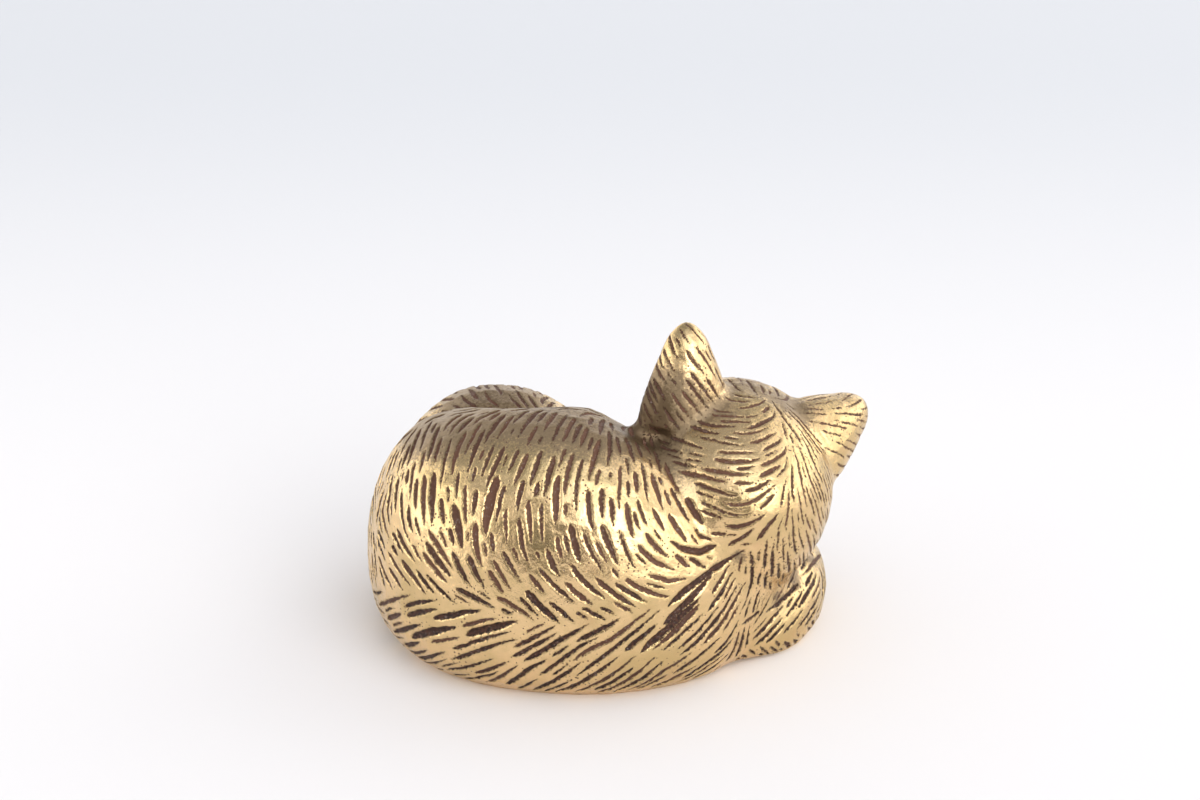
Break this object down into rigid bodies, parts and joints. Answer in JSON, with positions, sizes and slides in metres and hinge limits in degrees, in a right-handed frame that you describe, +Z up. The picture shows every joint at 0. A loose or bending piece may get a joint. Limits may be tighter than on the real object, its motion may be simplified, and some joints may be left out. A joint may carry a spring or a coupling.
{
  "type": "cat figurine",
  "caption": "Small cast brass cat asleep, curled up with its head raised on its forelegs and its tail round it, standing on a flat base.",
  "frame": {"origin": "middle of the outline in plan, at the flat base it stands on", "axes": "+X from the rump to the head, +Y from the back to the paws, +Z up; the back, seen in the picture, faces -Y"},
  "size_m": [0.0504, 0.0398, 0.0336],
  "materials": {
    "brass": "worn cast brass, satin, dark brown patina in the engraved fur",
    "brass_low": "worn cast brass with more patina left on it"
  },
  "bodies": {
    "root": {"trunk": "brass", "head": "brass", "left_ear": "brass", "right_ear": "brass", "left_haunch": "brass", "left_hind_foot": "brass_low", "left_foreleg": "brass_low", "right_foreleg": "brass_low", "tail": "brass_low"}
  },
  "joints": []
}
